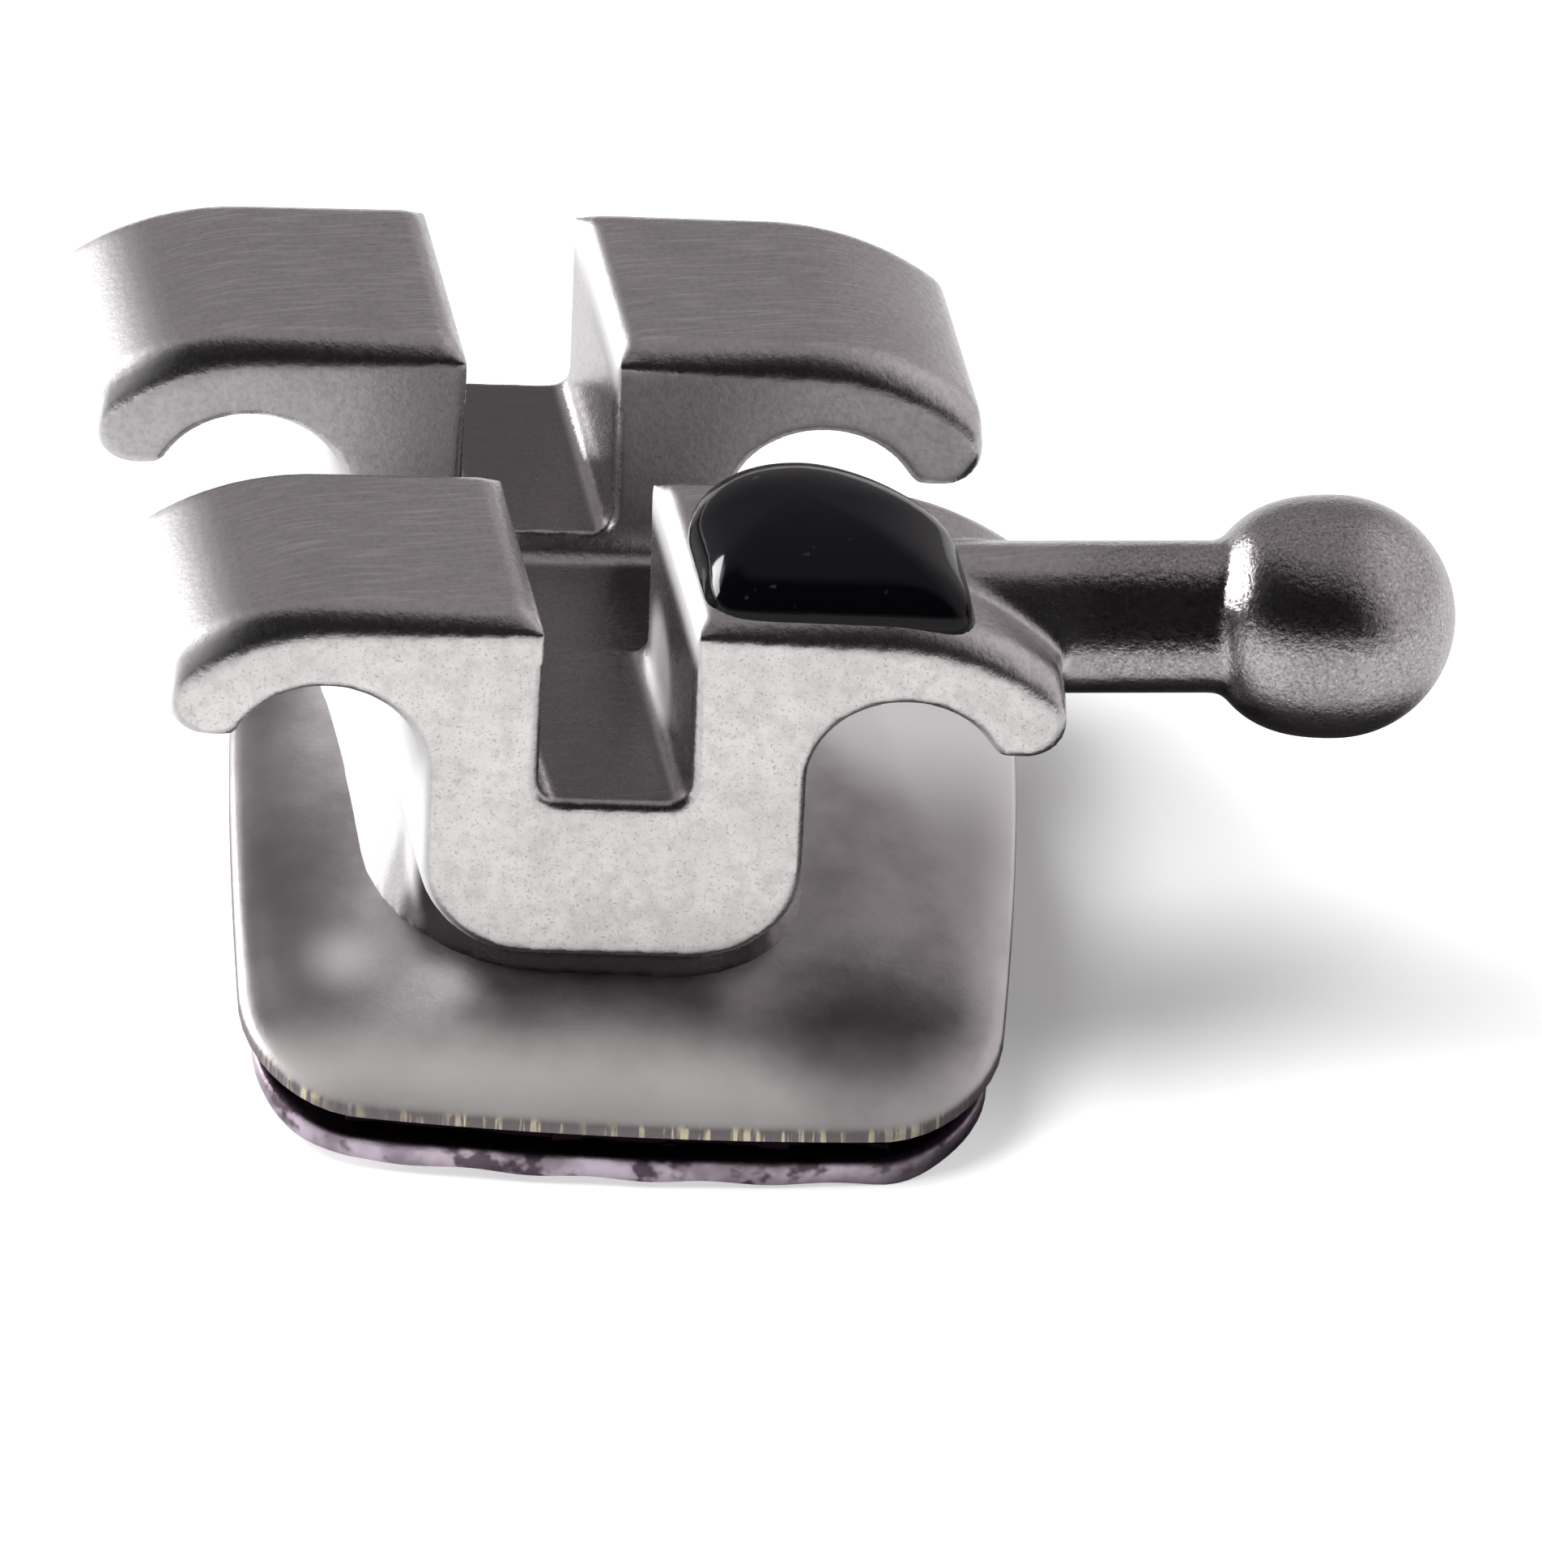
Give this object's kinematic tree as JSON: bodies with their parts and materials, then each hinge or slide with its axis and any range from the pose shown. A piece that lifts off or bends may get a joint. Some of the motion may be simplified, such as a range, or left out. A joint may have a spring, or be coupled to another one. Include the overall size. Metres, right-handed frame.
{
  "type": "orthodontic bracket",
  "caption": "Metal twin tie-wing tooth bracket with an archwire slot, a ball hook on one wing, a resin dot and a curved mesh-backed pad for bonding to a tooth.",
  "frame": {"origin": "base point: the middle of the bonding surface, on the tooth side of the mesh", "axes": "+Y along the archwire slot, +X across the slot towards the ball hook, +Z from the tooth to the wings"},
  "size_m": [0.0049, 0.0041, 0.0024],
  "materials": {
    "body_steel": "satin tumbled stainless steel",
    "pad_steel": "smooth stainless steel sheet with a cut edge",
    "mesh_steel": "sintered woven stainless steel wire",
    "dot_resin": "glossy black cured resin"
  },
  "bodies": {
    "root": {"wing_body": "body_steel", "base_pad": "pad_steel", "bonding_mesh": "mesh_steel", "identification_dot": "dot_resin"}
  },
  "joints": []
}
